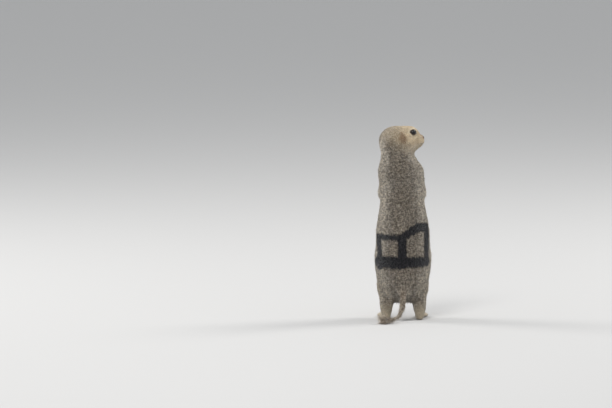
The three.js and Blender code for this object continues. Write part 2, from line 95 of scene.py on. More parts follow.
head_u = Vector(
    (
        -math.sin(LOOK_TURN) * math.cos(LOOK_DOWN),
        -math.cos(LOOK_TURN) * math.cos(LOOK_DOWN),
        -math.sin(LOOK_DOWN),
    )
)
head_v = Vector((0, 0, 1)).cross(head_u).normalized()
head_w = head_u.cross(head_v)
between_eyes = (centre("eye_left") + centre("eye_right")) / 2
head_origin = between_eyes - head_u * EYE_U * MM - head_w * EYE_W * MM
SHIFT_Y = head_origin.y / MM - HEAD_Y  # from the solids' own middle line to the frame's origin


def on_body(x, y, z):
    """A point given in millimetres from the body's own middle line."""
    return Vector((x, y + SHIFT_Y, z)) * MM


def on_limb(side, x, y, z):
    """A point of the left or right limb. The upper body leans to its left, as in the solids."""
    t = min(1, max(0, (z - 120) / 60))
    return on_body(side * x + LEAN * t * t * (3 - 2 * t), y, z)


def on_head(u, v, w):
    """A point given in millimetres in the head's own frame."""
    return head_origin + (head_u * u + head_v * v + head_w * w) * MM


# The tail's middle line, from its root to its tip
TAIL_LINE = [
    on_body(0, 21, 45),
    on_body(0, 29, 34),
    on_body(1, 34.5, 20),
    on_body(4.5, 41, 10),
    on_body(10.5, 49.5, 5.5),
    on_body(19, 57, 4.5),
    on_body(25.5, 61.4, 4),
]


def stretches():
    """The lie of the coat: stretches of the body that the hair follows, from the first point to the second.

    Each row: the two points, the radii there, the hair's length in mm and how far it stands off in degrees.
    """
    rows = [
        (on_body(6, 0, 220), on_body(2, 0, 165), 21, 26, 5.4, 15),
        (on_body(2, 0, 165), on_body(0.5, 0, 112), 26, 30, 6.2, 15),
        (on_body(0.5, 0, 112), on_body(0, 3, 48), 33, 29, 6.8, 16),
        (on_head(24, 0, 5), on_head(-14, 0, -4), 10, 16, 3.1, 14),
        (on_head(35, 0, -2), on_head(24, 0, 1), 4.5, 9, 1.0, 13),
        (on_head(27, 0, -9), on_head(4, 0, -14), 4.5, 10, 2.6, 14),
    ]
    for side in SIDES.values():
        rows += [
            (on_limb(side, 18, -2, 194), on_limb(side, 24, -5, 166), 10.5, 8, 4.8, 17),
            (on_limb(side, 24, -5, 163), on_limb(side, 10.5, -34.5, 163), 7.4, 4.3, 3.8, 16),
            (on_limb(side, 10.5, -34.5, 163), on_limb(side, 9, -40, 146), 4.4, 3, 1.7, 15),
            (on_limb(side, 16, 5, 79), on_limb(side, 20.5, -12, 40), 17.5, 12, 6.2, 16),
            (on_limb(side, 20.5, -12, 40), on_limb(side, 21.5, 12, 15), 12, 8.4, 4.2, 16),
            (on_limb(side, 21.5, 12, 24), on_limb(side, 21.5, 14, 8), 9, 7, 3.4, 15),
            (on_limb(side, 21.5, 15, 6), on_limb(side, 24.5, -26, 3), 6, 3.5, 2.2, 14),
        ]
    last = len(TAIL_LINE) - 1
    for i in range(last):
        t = i / last
        rows.append((TAIL_LINE[i], TAIL_LINE[i + 1], 7 - 4.5 * t, 7 - 5 * t, 7.5 + 7 * t, 17 + 8 * t))
    return rows


STRETCHES = stretches()
STRETCH_BLEND = 1.6  # how softly one stretch gives way to the next, in millimetres
EYE_SWEEP = 1.2  # how strongly the hair round an eye points away from it


def smooth_step(x, low, high):
    t = np.clip((x - low) / (high - low), 0, 1)
    return t * t * (3 - 2 * t)


def lie_of(points):
    """The hair's direction, length in metres and tilt in radians at each point."""
    direction = np.zeros_like(points)
    size = np.zeros((len(points), 2))
    total = np.full(len(points), 1e-12)
    for a, b, radius_a, radius_b, long, tilt in STRETCHES:
        start, way = np.array(a), np.array(b - a)
        t = np.clip((points - start) @ way / (way @ way), 0, 1)
        away = np.linalg.norm(points - start - t[:, None] * way, axis=1)
        outside = away / MM - (radius_a + t * (radius_b - radius_a))
        weight = np.exp(-np.maximum(outside, -4) / STRETCH_BLEND)
        direction += (weight / np.linalg.norm(way))[:, None] * way
        size += weight[:, None] * np.array([long * MM, math.radians(tilt)])
        total += weight
    direction /= np.linalg.norm(direction, axis=1)[:, None] + 1e-12
    size /= total[:, None]
    for side in SIDES:
        out = (points - np.array(centre(f"eye_{side}"))) / MM
        away = np.linalg.norm(out, axis=1)
        direction += out / away[:, None] * EYE_SWEEP * (1 - smooth_step(away, 5, 8))[:, None]
        size[:, 0] *= 0.32 + 0.68 * smooth_step(away, 5, 9)
    return direction, size[:, 0], size[:, 1]


# Markings: the same for skin and coat. Each is a weight from 0 to 1 at each point.
EYES = [f"eye_{side}" for side in SIDES]
# The dyed mark on the back: bars as x and z of two ends and half the width, in millimetres
DYE_BARS = (
    ((31.2, 108), (29.6, 68), 3.0),
    ((31.2, 107.8), (5, 107.6), 3.6),
    ((1.1, 105), (1.1, 74), 5.7),
    ((29, 75.6), (1, 75.4), 7.8),
    ((1, 75.8), (-28, 76), 6.7),
    ((3, 107), (-12.5, 117), 4.9),
    ((-12.5, 117), (-20.5, 120.5), 5.8),
    ((-20.5, 120.5), (-27, 120.3), 6.3),
    ((-29.9, 122), (-29.9, 72), 3.1),
)


def ripple(points, scale, phase):
    """A smooth uneven value from -1 to 1, repeated every few millimetres."""
    p = points / MM / scale
    return (
        np.sin(p[:, 0] * 1.7 + 2.3 * np.sin(p[:, 2] * 1.1 + phase))
        * np.sin(p[:, 2] * 1.3 + 1.9 * np.sin(p[:, 1] * 0.9 + p[:, 0] * 0.7 + phase))
    )


def dye_weight(points):
    """How far each point is inside the dyed bars. They end where the flanks turn to the front."""
    x = points[:, 0] / MM + 0.9 * ripple(points, 2.6, 0.4)
    z = points[:, 2] / MM + 0.9 * ripple(points, 2.2, 2.1)
    weight = np.zeros(len(points))
    for (x0, z0), (x1, z1), half in DYE_BARS:
        along = (x - x0) * (x1 - x0) + (z - z0) * (z1 - z0)
        t = np.clip(along / ((x1 - x0) ** 2 + (z1 - z0) ** 2), 0, 1)
        away = np.hypot(x - x0 - t * (x1 - x0), z - z0 - t * (z1 - z0))
        weight = np.maximum(weight, 1 - smooth_step(away, half - 0.5, half + 0.7))
    return weight * smooth_step(points[:, 1] / MM - SHIFT_Y + ripple(points, 2.4, 3.3), 0.5, 5)


def from_centres(points, nodes):
    """How far each point is from the nearest of the nodes' middles, in metres."""
    return np.min([np.linalg.norm(points - np.array(centre(node)), axis=1) for node in nodes], axis=0)


def markings(points, normals):
    """The weight of each region's colours at each point. u, v and w are in the head's own frame."""
    x, y, z = (points / MM - np.array([0, SHIFT_Y, 0])).T
    u, v, w = ((points - np.array(head_origin)) @ np.array([head_u, head_v, head_w]).T / MM).T
    uneven = 1.6 * ripple(points, 5, 1.1)
    head_share = smooth_step(z + 0.35 * u + uneven, 212, 236)
    # The flanks' paler colour is partly the coat's own and partly painted rim light: it follows how far the
    # surface is turned sideways or to the front
    turned = np.abs(normals[:, 0]) + np.maximum(-normals[:, 1], 0) + 0.06 * uneven
    flank_and_rim_light = smooth_step(turned, 0.42, 0.82) * (1 - 0.6 * head_share)
    front = smooth_step(-y - 0.25 * np.abs(x) + 1.6 * uneven, -14, 13) * (1 - head_share)
    under_jaw = head_share * smooth_step(-w + 0.3 * u + 0.6 * uneven, 11, 18)
    foot = smooth_step(26 - z + uneven, 0, 20) * smooth_step(np.abs(x) - 0.2 * z, 6, 12)
    foot *= 1 - smooth_step(y, 22, 30)
    arm = smooth_step(-y + uneven, 4, 18) * smooth_step(20 - np.abs(z - 160), 0, 8)
    eye = from_centres(points, EYES) / MM
    ring = 1 - smooth_step(eye + 0.3 * uneven, 5.6, 7.4)
    cheek = smooth_step(2.2 - np.abs(w + 1.5 - 0.12 * u + 0.5 * uneven), 0, 2) * smooth_step(u, 4, 12)
    rust = (1 - smooth_step(np.hypot(u - 2, w) + uneven, 3, 8)) * smooth_step(np.abs(v), 7, 12)
    rust = np.maximum(rust, smooth_step(u + 0.4 * uneven, 27, 33) * smooth_step(w, -3, 2))
    tail = smooth_step(y, 24, 34) * smooth_step(45 - z, 0, 10)
    return {
        "flank_and_rim_light": np.maximum(flank_and_rim_light, 0.6 * tail),
        "belly": np.maximum(front, under_jaw),
        "face": head_share * (0.45 + 0.55 * smooth_step(u + uneven, -14, 12)),
        "limb": np.maximum(foot, arm),
        "ring": np.maximum(0.6 * ring, 0.4 * cheek) * head_share,
        "rust": np.maximum(0.6 * rust * head_share, 0.15 * tail),
        "dye": dye_weight(points),
    }


# Mesh helpers
def new_object(name, mesh):
    made = bpy.data.objects.new(name, mesh)
    bpy.context.scene.collection.objects.link(made)
    return made


def smooth_shaded(mesh):
    mesh.polygons.foreach_set("use_smooth", np.ones(len(mesh.polygons), bool))
    mesh.update()
    return mesh


def coordinates(mesh):
    co = np.empty(len(mesh.vertices) * 3, np.float32)
    mesh.vertices.foreach_get("co", co)
    return co.reshape(-1, 3).astype(float)


def point_normals(mesh):
    no = np.empty(len(mesh.vertices) * 3, np.float32)
    mesh.vertex_normals.foreach_get("vector", no)
    return no.reshape(-1, 3).astype(float)


def set_coordinates(mesh, co):
    mesh.vertices.foreach_set("co", co.astype(np.float32).ravel())
    mesh.update()


def set_attributes(mesh, values):
    for name, value in values.items():
        attribute = mesh.attributes.new(name, "FLOAT", "POINT")
        attribute.data.foreach_set("value", np.asarray(value, np.float32))


def mesh_from(bm, name):
    mesh = bpy.data.meshes.new(name)
    bm.to_mesh(mesh)
    bm.free()
    return mesh


def remeshed(bm, voxel):
    """One even mesh round all that the bmesh holds."""
    raw = mesh_from(bm, "raw")
    holder = new_object("raw", raw)
    modifier = holder.modifiers.new("even", "REMESH")
    modifier.mode = "VOXEL"
    modifier.voxel_size = voxel
    evaluated = holder.evaluated_get(bpy.context.evaluated_depsgraph_get())
    mesh = bpy.data.meshes.new_from_object(evaluated)
    bpy.data.objects.remove(holder)
    bpy.data.meshes.remove(raw)
    return mesh


GROW_BACK = 0.94  # the share of each smoothing step that is taken back, so that thin forms don't shrink


def relaxed(mesh, rounds, share=0.5, keep=None):
    """Moves each vertex towards the mean of its neighbours. keep holds a vertex back by that weight."""
    edges = np.empty(len(mesh.edges) * 2, np.int32)
    mesh.edges.foreach_get("vertices", edges)
    a, b = edges.reshape(-1, 2).T
    co = coordinates(mesh)
    count = np.bincount(a, minlength=len(co)) + np.bincount(b, minlength=len(co))
    held = 1 if keep is None else (1 - keep)[:, None]
    for _ in range(rounds):
        for step in (share, -share * GROW_BACK):
            total = [np.bincount(a, co[b, k], len(co)) + np.bincount(b, co[a, k], len(co)) for k in range(3)]
            co += step * held * (np.column_stack(total) / np.maximum(count, 1)[:, None] - co)
    set_coordinates(mesh, co)


def add_tube(bm, points, radii, around=10):
    """A closed tube through the points, with a radius at each."""
    rings = []
    for i, (p, radius) in enumerate(zip(points, radii)):
        way = (points[min(i + 1, len(points) - 1)] - points[max(i - 1, 0)]).normalized()
        side = way.cross(Vector((0.3, 0.9, 0.31))).normalized()
        over = side.cross(way)
        ring = []
        for n in range(around):
            a = 2 * math.pi * n / around
            ring.append(bm.verts.new(p + (side * math.cos(a) + over * math.sin(a)) * radius))
        rings.append(ring)
    for low, high in zip(rings, rings[1:]):
        for n in range(around):
            m = (n + 1) % around
            bm.faces.new((low[n], low[m], high[m], high[n]))
    bm.faces.new(rings[0][::-1])
    bm.faces.new(rings[-1])


# Eyes: each opening is an oval, in degrees from the middle of the ball
OPEN_LONG = math.radians(60)
OPEN_UP = math.radians(38)
OPEN_DOWN = math.radians(34)


def eye_axes(side):
    out = (head_u * 0.16 + head_v * side + head_w * 0.2).normalized()
    forward = (head_u - out * head_u.dot(out) - head_w * 0.1).normalized()
    forward = (forward - out * forward.dot(out)).normalized()
    over = out.cross(forward) * side * -1
    return out, forward, over if over.dot(head_w) > 0 else -over


def opening_at(a):
    """Half the eye's opening towards the angle a round it: 0 is forward and a quarter turn up."""
    half = np.where(np.sin(a) > 0, OPEN_UP, OPEN_DOWN)
    return 1 / np.hypot(np.cos(a) / OPEN_LONG, np.sin(a) / half)


# Skin: one mesh for the flesh nodes, set in by the coat's depth
LIMB_PARTS = ("upper_arm", "forearm", "hand", "thigh", "shank", "foot")
FLESH = ["head", "neck", "chest", "belly", "rump"]
FLESH += [f"{part}_{side}" for part in LIMB_PARTS for side in SIDES]
CLAW_COUNTS = {"fore": 4, "hind": 5}
SKIN_VOXEL = 0.95 * MM
TAIL_FLESH = (6.4, 6, 5, 4.2, 3.4, 2.8, 1.6)  # radii along the tail, in millimetres
FORE_WAY = (0, -0.15, -1)  # the ways that the digits point
HIND_WAY = (0, -1, -0.12)


def claws_of(limb, side):
    return [f"claw_{limb}_{side}_{n}" for n in range(1, CLAW_COUNTS[limb] + 1)]


CLAWS = [claw for limb in CLAW_COUNTS for side in SIDES for claw in claws_of(limb, side)]


def make_skin():
    """The flesh and tail as one mesh, smoothed, and pressed in by the depth of the hair that grows on it."""
    bm = bmesh.new()
    for node in FLESH:
        bm.from_mesh(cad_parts[node].data)
    add_tube(bm, TAIL_LINE, [r * MM for r in TAIL_FLESH])
    mesh = remeshed(bm, SKIN_VOXEL)
    co = coordinates(mesh)
    _, long, _ = lie_of(co)
    digits = 1 - smooth_step(from_centres(co, CLAWS) / MM, 9, 15)
    relaxed(mesh, 9, keep=0.85 * np.maximum(digits, 1 - smooth_step(long / MM, 0.9, 2.4)))
    co = coordinates(mesh)
    _, long, tilt = lie_of(co)
    depth = long * np.sin(tilt) * (0.9 - 0.6 * digits)
    set_coordinates(mesh, co - point_normals(mesh) * depth[:, None])
    relaxed(mesh, 2)
    co, normals = coordinates(mesh), point_normals(mesh)
    for name, side in SIDES.items():
        shape_lids(co, name, side)
        part_digits(co, normals, claws_of("fore", name), Vector(FORE_WAY))
        part_digits(co, normals, claws_of("hind", name), Vector(HIND_WAY))
    set_coordinates(mesh, co)
    return smooth_shaded(mesh)


def part_digits(co, normals, claws, way):
    """Presses a groove into the skin between each two neighbouring digits. way is the way that they point."""
    way = np.array(way.normalized())
    for a, b in zip(claws, claws[1:]):
        across = np.array((centre(b) - centre(a)).normalized())
        offset = (co - np.array((centre(a) + centre(b)) / 2)) / MM
        along, over = offset @ way, offset @ np.cross(way, across)
        depth = 1.25 * np.exp(-(((offset @ across) / 0.62) ** 2)) * smooth_step(along, -15, -9)
        depth[(along > 4) | (np.abs(over) > 7)] = 0
        co -= normals * depth[:, None] * MM


def shape_lids(co, name, side):
    """Moves the skin round an eye to a smooth lid. Within the opening it goes back under the ball."""
    out, forward, over = (np.array(axis) for axis in eye_axes(side))
    offset = co - np.array(centre(f"eye_{name}"))
    away = np.linalg.norm(offset, axis=1)
    near = np.flatnonzero(away < 9 * MM)
    way = offset[near] / away[near, None]
    angle = np.arctan2(way @ over, way @ forward)
    past = np.degrees(np.arccos(np.clip(way @ out, -1, 1)) - opening_at(angle))
    lid = 4.3 + 0.78 * smooth_step(past, -2, 6)
    share = 1 - smooth_step(past, 14, 34)
    near_away = away[near] / MM
    near_away += share * (lid - near_away)
    co[near] = np.array(centre(f"eye_{name}")) + way * near_away[:, None] * MM


skin_mesh = make_skin()
skin = new_object("skin", skin_mesh)


# Ears: fine meshes of the solids' own cups
EAR_VOXEL = 0.3 * MM


def make_ear(name):
    bm = bmesh.new()
    bm.from_mesh(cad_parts[f"ear_{name}"].data)
    mesh = remeshed(bm, EAR_VOXEL)
    relaxed(mesh, 3)
    made = new_object(f"ear_cup_{name}", smooth_shaded(mesh))
    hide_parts(f"ear_{name}")
    return made


ears = {name: make_ear(name) for name in SIDES}


# Unwrap of the skin's and the ears' own shapes, for the baked colours of skin and coat
BARE_ALONG = 0.35  # how far along a hair the colour under the coat is taken


def unwrap(obj):
    obj.data.uv_layers.new(name="OFBake")
    bpy.context.view_layer.objects.active = obj
    obj.select_set(True)
    bpy.ops.object.mode_set(mode="EDIT")
    bpy.ops.mesh.select_all(action="SELECT")
    bpy.ops.uv.smart_project(angle_limit=math.radians(66), island_margin=0.002)
    bpy.ops.object.mode_set(mode="OBJECT")
    obj.select_set(False)


rng = np.random.default_rng(SEED)
for grown in (skin, *ears.values()):
    unwrap(grown)
    places = coordinates(grown.data)
    shades = rng.random(len(places))
    set_attributes(grown.data, markings(places, point_normals(grown.data)))
    set_attributes(grown.data, {"along": np.full(len(places), BARE_ALONG), "shade": shades})


# Coat
TUFT_PATCH = 0.003  # across each tuft's place on the bake map
COVER = 2.6  # how many tufts deep the coat is
MOST_TUFTS = 136_000
MOST_IN_PIECE = 19_000
CLUMPING = 0.3  # how much neighbouring tufts lean together
FLOOR_GAP = 0.3 * MM
LONGEST = 12.5 * MM
GUARD_SHARE = 1 / 9  # how many of the tufts are guard hairs
ROOT_DEPTH = 0.12  # how much of each tuft is under the skin


def triangles_of(mesh):
    mesh.calc_loop_triangles()
    corners = np.empty(len(mesh.loop_triangles) * 3, np.int32)
    mesh.loop_triangles.foreach_get("vertices", corners)
    loops = np.empty(len(mesh.loop_triangles) * 3, np.int32)
    mesh.loop_triangles.foreach_get("loops", loops)
    return corners.reshape(-1, 3), loops.reshape(-1, 3)


def bare(points):
    """Where no tuft grows: on the eyes and the nose, and under the soles."""
    off = np.zeros(len(points), bool)
    for side in SIDES:
        off |= np.linalg.norm(points - np.array(centre(f"eye_{side}")), axis=1) < (EYE_R + 0.45) * MM
    off |= np.linalg.norm(points - np.array(centre("nose")), axis=1) < 2.7 * MM
    off |= points[:, 2] < 1.4 * MM
    return off


def tuft_roots(mesh, scale):
    """Seeded random roots over a mesh, denser where the hair is short and on the tail.

    scale is the hair's share of its full length.
    """
    co, no = coordinates(mesh), point_normals(mesh)
    corners, loops = triangles_of(mesh)
    a, b, c = (co[corners[:, i]] for i in range(3))
    area = np.linalg.norm(np.cross(b - a, c - a), axis=1) / 2
    middles = (a + b + c) / 3
    _, long, _ = lie_of(middles)
    long *= scale
    wide = width_of(long)
    expected = area * COVER / (0.5 * long * wide) * (1 + 2.4 * smooth_step(long / MM, 7.5, 10.5))
    expected *= np.where(bare(middles), 0, 1)
    expected *= min(1, MOST_TUFTS / expected.sum())
    total = int(expected.sum())
    ends = np.cumsum(expected) / expected.sum()
    chosen = np.searchsorted(ends, (np.arange(total) + rng.random(total)) / total)
    share = rng.random((total, 2))
    share[share.sum(1) > 1] = 1 - share[share.sum(1) > 1]
    share = np.column_stack([1 - share.sum(1), share])
    uv = np.empty(len(mesh.loops) * 2, np.float32)
    mesh.uv_layers["OFBake"].uv.foreach_get("vector", uv)
    uv = uv.reshape(-1, 2)
    points = (co[corners[chosen]] * share[:, :, None]).sum(1)
    normals = (no[corners[chosen]] * share[:, :, None]).sum(1)
    normals /= np.linalg.norm(normals, axis=1)[:, None]
    place = (uv[loops[chosen]] * share[:, :, None]).sum(1)
    return points, normals, place


def width_of(long):
    """A tuft's width from its length: widest on the back, finer on the face, the feet and the tail."""
    return np.minimum(0.1 * MM + 0.07 * long, 0.95 * MM - 0.055 * long)


def lifted(corners, long, surface):
    """Raises the middle and tip of each tuft that would sink into a hollow of the surface under it."""
    for low, high, height in ((3, 6, 0.05), (6, 7, 0.09)):
        for n, least in enumerate(long * height):
            middle = Vector(corners[n, low:high].mean(0))
            place, normal, _, _ = surface.find_nearest(middle)
            short = least - (middle - place).dot(normal)
            if short > 0:
                corners[n, low:high] += np.array(normal) * short


def make_tufts(points, normals, scale, surface):
    """Three-sided curved tufts that follow the lie of the coat. Returns their corners, seven for each.

    Neighbours lean together in small clumps. Guard hairs are longer, thinner and more upright.
    """
    total = len(points)
    lie, long, tilt = lie_of(points)
    long *= scale
    clump = np.column_stack([ripple(points, 1.9, phase) for phase in (0.3, 1.9, 4.1)])
    lie += CLUMPING * clump + 0.13 * rng.standard_normal((total, 3))
    lie -= (lie * normals).sum(1)[:, None] * normals
    lie /= np.linalg.norm(lie, axis=1)[:, None]
    guard = rng.random(total) < GUARD_SHARE
    wide = width_of(long) * (0.8 + 0.4 * rng.random(total)) * np.where(guard, 0.6, 1)
    long = np.minimum(long * (0.75 + 0.45 * rng.random(total)) * np.where(guard, 1.3, 1), LONGEST)
    tilt = tilt * (0.6 + 0.8 * rng.random(total) + 0.25 * clump[:, 0]) * np.where(guard, 1.45, 1)
    rise = np.sin(tilt)[:, None] * normals + np.cos(tilt)[:, None] * lie
    side = np.cross(lie, normals)
    side_bend = 0.12 * rng.standard_normal(total)[:, None] * side
    start = points - normals * (ROOT_DEPTH * long)[:, None]
    middle = start + (rise + 0.5 * side_bend) * (0.5 * long)[:, None]
    tip = start + (rise + side_bend - 0.1 * normals) * long[:, None]
    corners = np.empty((total, TUFT_CORNERS, 3))
    for ring, (base, share) in enumerate(((start, 1.0), (middle, 0.82))):
        half = (wide * share / 2)[:, None]
        corners[:, ring * 3] = base + side * half
        corners[:, ring * 3 + 1] = base - side * half
        corners[:, ring * 3 + 2] = base + np.cross(side, rise) * half * -0.9
    corners[:, 6] = tip
    lifted(corners, long, surface)
    corners[:, :, 2] = np.maximum(corners[:, :, 2], FLOOR_GAP)
    return corners


# A tuft's corners are two rings of three and the tip. Its faces are between the rings, then at its ends.
TUFT_WALLS = [(0, 1, 4), (0, 4, 3), (1, 2, 5), (1, 5, 4), (2, 0, 3), (2, 3, 5)]
TUFT_ENDS = [(3, 4, 6), (4, 5, 6), (5, 3, 6), (0, 2, 1)]
TUFT_FACES = np.array(TUFT_WALLS + TUFT_ENDS)
TUFT_CORNERS = 7
TUFT_ALONG = np.array([0, 0, 0, 0.55, 0.55, 0.55, 1])
TUFT_PLACES = np.array([(-1, -1), (1, -1), (0, -1), (-0.8, 0), (0.8, 0), (0, 0), (0, 1)]) / 2


def make_coat_piece(name, corners, place, marks, shade):
    total = len(corners)
    mesh = bpy.data.meshes.new(name)
    faces = (TUFT_FACES[None] + TUFT_CORNERS * np.arange(total)[:, None, None]).reshape(-1, 3)
    mesh.vertices.add(total * TUFT_CORNERS)
    mesh.vertices.foreach_set("co", corners.astype(np.float32).ravel())
    mesh.loops.add(faces.size)
    mesh.loops.foreach_set("vertex_index", faces.astype(np.int32).ravel())
    mesh.polygons.add(len(faces))
    mesh.polygons.foreach_set("loop_start", np.arange(0, faces.size, 3, dtype=np.int32))
    mesh.update(calc_edges=True)
    layer = mesh.uv_layers.new(name="OFBake")
    uv = np.clip(place[:, None] + TUFT_PLACES * TUFT_PATCH, 0, 1).reshape(-1, 2)
    layer.uv.foreach_set("vector", uv[faces.ravel()].astype(np.float32).ravel())
    set_attributes(mesh, {key: np.repeat(value, TUFT_CORNERS) for key, value in marks.items()})
    set_attributes(mesh, {"along": np.tile(TUFT_ALONG, total), "shade": np.repeat(shade, TUFT_CORNERS)})
    return new_object(name, smooth_shaded(mesh))


def coat_regions(points):
    """A name for the part of the body that each root is on."""
    x, y, z = (points / MM - np.array([0, SHIFT_Y, 0])).T
    region = np.full(len(points), "belly", "U16")
    region[z > 138] = "chest"
    region[z > 206] = "neck"
    region[z > 219] = "head"
    region[z < 64] = "rump"
    region[(z < 40) & (x > 6)] = "leg_left"
    region[(z < 40) & (x < -6)] = "leg_right"
    region[(y > 27) & (z < 42)] = "tail"
    return region


def make_coat(obj, region=None, scale=1):
    """The coat of one object, in pieces by the part of the body, or all as one region where it is named."""
    points, normals, place = tuft_roots(obj.data, scale)
    surface = BVHTree.FromObject(obj, bpy.context.evaluated_depsgraph_get())
    corners = make_tufts(points, normals, scale, surface)
    marks = markings(0.4 * points + 0.6 * corners[:, 6], normals)
    shade = rng.random(len(points))
    regions = np.full(len(points), region) if region else coat_regions(points)
    pieces = []
    for here in np.unique(regions):
        found = np.flatnonzero(regions == here)
        turn = np.arctan2(points[found, 0], points[found, 1] - SHIFT_Y * MM)
        found = found[np.argsort(turn, kind="stable")]
        parts = math.ceil(len(found) / MOST_IN_PIECE)
        for n, picked in enumerate(np.array_split(found, parts)):
            name = f"coat_{here}_{n + 1}"
            chosen = {key: value[picked] for key, value in marks.items()}
            pieces.append(make_coat_piece(name, corners[picked], place[picked], chosen, shade[picked]))
    return pieces


coat = make_coat(skin)
for name, ear in ears.items():
    coat += make_coat(ear, f"ear_{name}", 0.5)


# Materials
def shader(name, roughness, color=(0.5, 0.5, 0.5), **settings):
    material = bpy.data.materials.new(name)
    material.use_nodes = True
    bsdf = material.node_tree.nodes["Principled BSDF"]
    bsdf.inputs["Base Color"].default_value = (*color, 1)
    bsdf.inputs["Roughness"].default_value = roughness
    for key, value in settings.items():
        bsdf.inputs[key.replace("_", " ")].default_value = value
    return material, material.node_tree, bsdf


def mixed(tree, factor, a, b, blend="MIX"):
    """A colour mix node. Each of a and b is a colour or a socket, and factor a number or a socket."""
    node = tree.nodes.new("ShaderNodeMix")
    node.data_type = "RGBA"
    node.blend_type = blend
    for socket, value in ((node.inputs[0], factor), (node.inputs[6], a), (node.inputs[7], b)):
        if isinstance(value, bpy.types.NodeSocket):
            tree.links.new(value, socket)
        elif isinstance(value, (int, float)):
            socket.default_value = value
        else:
            socket.default_value = (*value, 1)
    return node.outputs[2]


def attribute(tree, name):
    node = tree.nodes.new("ShaderNodeAttribute")
    node.attribute_name = name
    return node.outputs["Fac"]


def ramp(tree, factor, *stops):
    node = tree.nodes.new("ShaderNodeValToRGB")
    tree.links.new(factor, node.inputs[0])
    elements = node.color_ramp.elements
    while len(elements) < len(stops):
        elements.new(0.5)
    for element, (position, color) in zip(elements, stops):
        element.position = position
        element.color = (*color, 1)
    return node.outputs[0]


def noise(tree, scale, detail=2.0, stretch=(1, 1, 1)):
    """A noise by the object's own coordinates. scale is in waves for each metre."""
    place = tree.nodes.new("ShaderNodeTexCoord")
    mapping = tree.nodes.new("ShaderNodeMapping")
    mapping.inputs["Scale"].default_value = stretch
    tree.links.new(place.outputs["Object"], mapping.inputs["Vector"])
    node = tree.nodes.new("ShaderNodeTexNoise")
    node.inputs["Scale"].default_value = scale
    node.inputs["Detail"].default_value = detail
    tree.links.new(mapping.outputs["Vector"], node.inputs["Vector"])
    return node.outputs["Fac"]


# Each kind of hair: its root, then its outer length from the darkest tuft to the palest
BACK = (
    (0.12, 0.1, 0.078),
    (0.0, (0.06, 0.048, 0.036)),
    (0.3, (0.28, 0.235, 0.18)),
    (0.65, (0.52, 0.45, 0.36)),
    (1.0, (0.8, 0.73, 0.62)),
)
# The paler sides: partly their own colour, partly painted rim light
FLANK_AND_RIM_LIGHT = ((0.34, 0.29, 0.22), (0.0, (0.42, 0.35, 0.26)), (0.35, (0.76, 0.68, 0.56)), (1.0, (0.95, 0.9, 0.8)))
FACE = ((0.55, 0.43, 0.28), (0.0, (0.45, 0.33, 0.19)), (0.35, (0.84, 0.68, 0.46)), (1.0, (0.98, 0.88, 0.68)))
BELLY = ((0.58, 0.48, 0.34), (0.0, (0.68, 0.56, 0.4)), (1.0, (0.98, 0.9, 0.75)))
LIMB = ((0.42, 0.35, 0.25), (0.0, (0.48, 0.39, 0.27)), (1.0, (0.88, 0.79, 0.62)))
RUST = ((0.2, 0.1, 0.045), (0.0, (0.22, 0.1, 0.04)), (1.0, (0.5, 0.27, 0.12)))
RING = (0.8, 0.7, 0.53)
DYE = ((0.0, (0.004, 0.0035, 0.0045)), (1.0, (0.02, 0.019, 0.024)))
# What the coat's colour is multiplied by, from the darkest fleck to the palest. The flecks are partly the
# coat's own mottling and partly painted shade in the partings between clumps of hair
MOTTLE_AND_PARTING_SHADE = ((0.4, (0.44, 0.42, 0.4)), (0.52, (0.98, 0.98, 0.98)), (0.66, (1.3, 1.28, 1.25)))
FINE_FLECKS = ((0.38, (0.62, 0.58, 0.54)), (0.5, (1, 1, 1)), (0.62, (1.2, 1.2, 1.2)))


def coat_color(tree):
    """Banded hair in each region's colours, with the paler flanks partly painted rim light and flecks partly
    painted shade of the partings in the coat, then the pale eye rings and the dye over it.
    """
    along, shade = attribute(tree, "along"), attribute(tree, "shade")

    def hair(root, *tips):
        return mixed(tree, along, root, ramp(tree, shade, *tips))

    # Flecks stretched across the body: the coat's own mottling, with painted shade in the partings between
    # clumps
    mottle_and_parting_shade = ramp(tree, noise(tree, 360, 3, (0.75, 0.75, 1.5)), *MOTTLE_AND_PARTING_SHADE)
    color = mixed(tree, attribute(tree, "flank_and_rim_light"), hair(*BACK), hair(*FLANK_AND_RIM_LIGHT))
    color = mixed(tree, 0.9, color, mottle_and_parting_shade, "MULTIPLY")
    for region, kind in (("face", FACE), ("belly", BELLY), ("limb", LIMB), ("rust", RUST)):
        color = mixed(tree, attribute(tree, region), color, hair(*kind))
    fine_flecks = ramp(tree, noise(tree, 700, 3), *FINE_FLECKS)
    color = mixed(tree, 0.6, color, fine_flecks, "MULTIPLY")
    color = mixed(tree, attribute(tree, "ring"), color, RING)
    return mixed(tree, attribute(tree, "dye"), color, ramp(tree, shade, *DYE))


def add_mottle(tree, bsdf, scale, detail, dark, pale):
    """Colours a material by a noise, from the dark stop of a ramp to the pale one."""
    tree.links.new(ramp(tree, noise(tree, scale, detail), dark, pale), bsdf.inputs["Base Color"])


def add_bump(tree, bsdf, height, strength, distance):
    node = tree.nodes.new("ShaderNodeBump")
    node.inputs["Strength"].default_value = strength
    node.inputs["Distance"].default_value = distance
    tree.links.new(height, node.inputs["Height"])
    tree.links.new(node.outputs["Normal"], bsdf.inputs["Normal"])


coat_material, tree, bsdf = shader(
    "coat_hair",
    0.75,
    Specular_IOR_Level=0.2,
    Sheen_Weight=0.3,
    Sheen_Roughness=0.4,
)
tree.links.new(coat_color(tree), bsdf.inputs["Base Color"])

skin_material, tree, bsdf = shader("skin_under_coat", 0.85, Specular_IOR_Level=0.2)
tree.links.new(coat_color(tree), bsdf.inputs["Base Color"])
add_bump(tree, bsdf, noise(tree, 1500, 2), 0.6, 0.4 * MM)

skin_mesh.materials.append(skin_material)
for piece in coat:
    piece.data.materials.append(coat_material)


